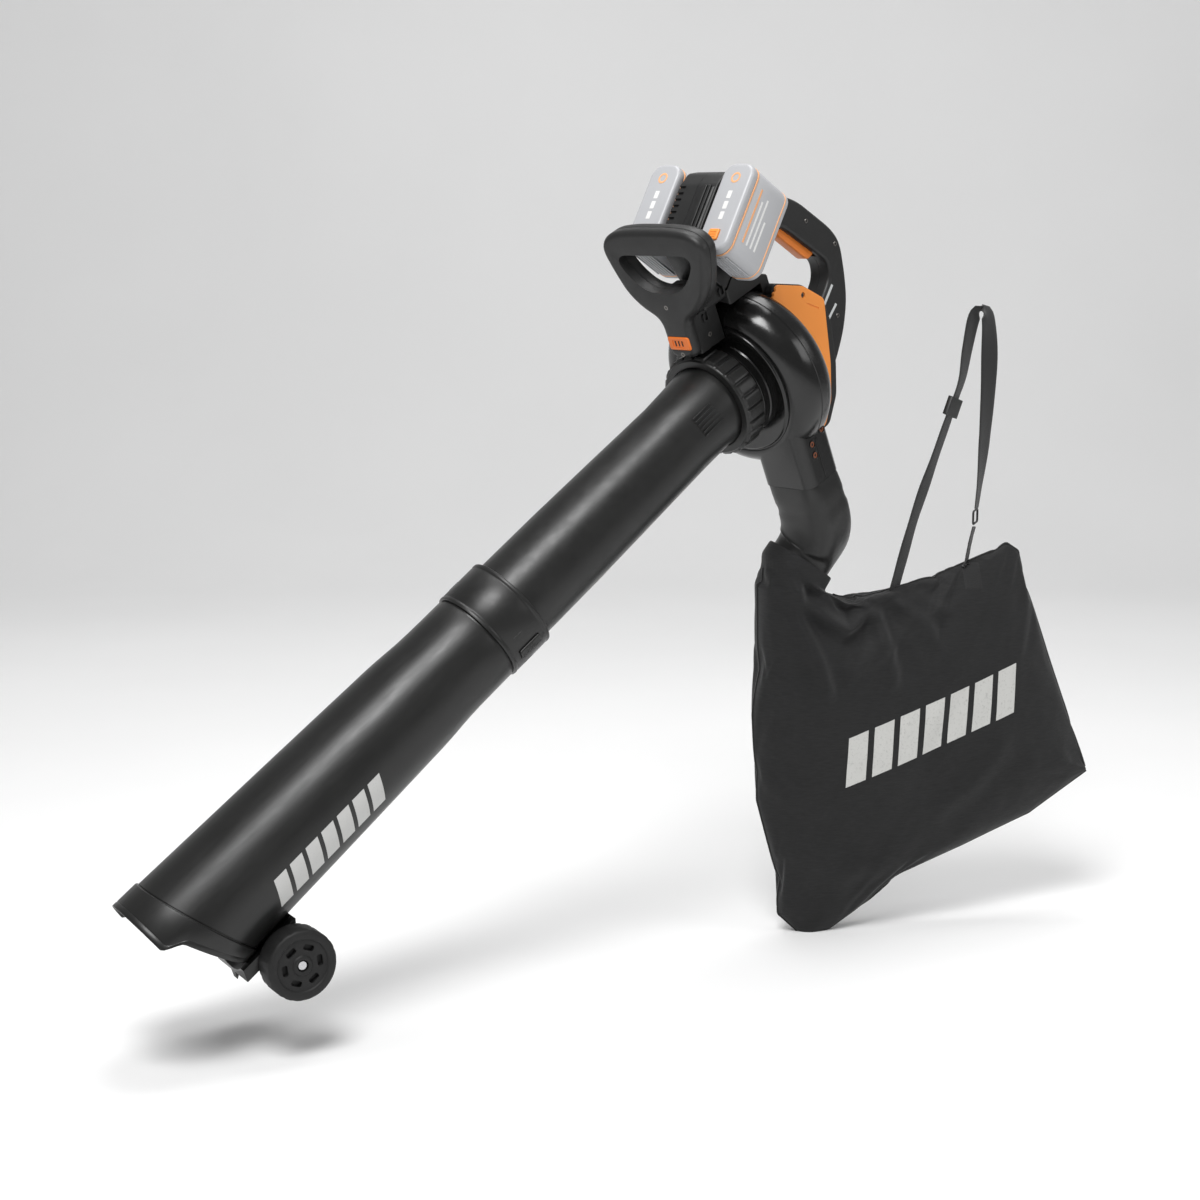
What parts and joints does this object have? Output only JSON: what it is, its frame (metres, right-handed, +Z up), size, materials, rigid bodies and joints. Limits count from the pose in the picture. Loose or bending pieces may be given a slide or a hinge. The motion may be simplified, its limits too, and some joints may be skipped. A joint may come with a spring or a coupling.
{
  "type": "leaf vacuum mulcher",
  "caption": "Hand-held cordless leaf vacuum and mulcher: suction tube on wheels, fan housing with two slide-on battery packs, outlet elbow and catch bag on a strap.",
  "frame": {"origin": "middle of the rear grip", "axes": "+X from the suction mouth to the rear, +Y to the operator's right, +Z up, the tool held level as in use"},
  "size_m": [1.2238, 0.4637, 0.9643],
  "materials": {
    "bag_cloth": "woven polyester",
    "board_green": "printed circuit board",
    "cell_blue": "cell sleeves",
    "copper": "copper windings and laminations",
    "dark_grey": "fine textured plastic",
    "gloss_black": "polished moulded plastic",
    "orange": "satin plastic",
    "pale_grey": "smooth plastic",
    "pale_orange": "satin plastic",
    "satin_black": "satin moulded plastic",
    "steel": "machined",
    "webbing": "woven webbing"
  },
  "bodies": {
    "housing": {"bag_cuff": "webbing", "button_spring": "steel", "catch_bag": "bag_cloth", "control_board": "board_green", "front_bearing": "steel", "front_fan_shell": "gloss_black", "front_handle_front_shell": "dark_grey", "front_handle_rear_shell": "dark_grey", "lower_tube": "satin_black", "motor_housing": "steel", "motor_stator": "copper", "neck_left": "dark_grey", "neck_right": "dark_grey", "outlet_elbow": "satin_black", "power_switch": "dark_grey", "rear_bearing": "steel", "rear_fan_shell": "gloss_black", "rear_handle_left": "dark_grey", "rear_handle_right": "dark_grey", "shoulder_strap": "webbing", "side_cover_left": "orange", "side_cover_right": "orange", "strap_ring": "dark_grey", "strap_tab": "webbing", "terminal_block_left": "dark_grey", "terminal_block_right": "dark_grey", "tower_left": "dark_grey", "tower_right": "dark_grey", "trigger_pin": "steel", "trigger_spring": "steel", "tube_collar": "satin_black", "upper_tube": "satin_black", "wheel_axle": "steel", "wheel_bracket": "satin_black"},
    "impeller": {"impeller": "dark_grey", "impeller_nut": "steel", "shredder_blade": "steel", "blade_spacer": "steel", "motor_shaft": "steel", "motor_rotor": "steel"},
    "lock_ring": {"lock_ring": "satin_black"},
    "wheel_left": {"wheel_left": "satin_black"},
    "wheel_right": {"wheel_right": "satin_black"},
    "trigger": {"trigger": "orange"},
    "switch_plunger": {"switch_plunger": "orange"},
    "release_button": {"release_button": "orange"},
    "collar_latch": {"collar_latch": "satin_black"},
    "strap_buckle": {"strap_buckle": "dark_grey"},
    "pack_left": {"pack_left_case": "pale_grey", "pack_left_front_cap": "pale_grey", "pack_left_trim": "pale_orange", "pack_left_cells": "cell_blue"},
    "pack_left_latch": {"pack_left_latch": "orange"},
    "pack_right": {"pack_right_case": "pale_grey", "pack_right_front_cap": "pale_grey", "pack_right_trim": "pale_orange", "pack_right_cells": "cell_blue"},
    "pack_right_latch": {"pack_right_latch": "orange"}
  },
  "joints": [
    {"name": "impeller_spin", "type": "hinge", "parent": "housing", "child": "impeller", "pos_m": [-0.12, 0, -0.225], "axis": [0.9078, 0, 0.4195], "continuous": true},
    {"name": "lock_ring_turn", "type": "hinge", "parent": "housing", "child": "lock_ring", "pos_m": [-0.12, 0, -0.225], "axis": [0.9078, 0, 0.4195], "range_deg": [0, 30]},
    {"name": "wheel_left_spin", "type": "hinge", "parent": "housing", "child": "wheel_left", "pos_m": [-0.66413, 0.1458, -0.7979], "axis": [0.2588, 0.9659, 0], "continuous": true},
    {"name": "wheel_right_spin", "type": "hinge", "parent": "housing", "child": "wheel_right", "pos_m": [-0.66413, 0.1458, -0.7979], "axis": [0.2588, 0.9659, 0], "continuous": true},
    {"name": "trigger_pull", "type": "hinge", "parent": "housing", "child": "trigger", "pos_m": [-0.008, 0, -0.013], "axis": [0, -1, 0], "range_deg": [0, 7], "stiffness_Nm_per_rad": 2, "springref_deg": -5.73, "deforming": ["trigger_spring"]},
    {"name": "switch_press", "type": "slide", "parent": "housing", "child": "switch_plunger", "axis": [0.4384, 0, 0.8988], "range_m": [0, 0.0055]},
    {"name": "release_press", "type": "slide", "parent": "housing", "child": "release_button", "axis": [0.9078, 0, 0.4195], "range_m": [0, 0.003], "stiffness_N_per_m": 400, "springref_m": -0.002},
    {"name": "collar_latch_press", "type": "slide", "parent": "housing", "child": "collar_latch", "axis": [-0.0785, 0.9176, 0.3897], "range_m": [0, 0.0018], "stiffness_N_per_m": 600, "springref_m": -0.001},
    {"name": "pack_left_slide", "type": "slide", "parent": "housing", "child": "pack_left", "axis": [0.4939, 0, 0.8695], "range_m": [0, 0.1]},
    {"name": "pack_left_latch_press", "type": "slide", "parent": "pack_left", "child": "pack_left_latch", "axis": [0.8695, 0, -0.4939], "range_m": [0, 0.0018], "stiffness_N_per_m": 600, "springref_m": -0.001},
    {"name": "pack_right_slide", "type": "slide", "parent": "housing", "child": "pack_right", "axis": [0.4939, 0, 0.8695], "range_m": [0, 0.1]},
    {"name": "pack_right_latch_press", "type": "slide", "parent": "pack_right", "child": "pack_right_latch", "axis": [0.8695, 0, -0.4939], "range_m": [0, 0.0018], "stiffness_N_per_m": 600, "springref_m": -0.001},
    {"name": "buckle_slide", "type": "slide", "parent": "housing", "child": "strap_buckle", "axis": [0.2847, -0.1644, 0.9444], "range_m": [-0.04, 0.006]}
  ],
  "couplings": [
    {"joint": "switch_press", "follows": "trigger_pull", "m_per_rad": 0.04}
  ]
}
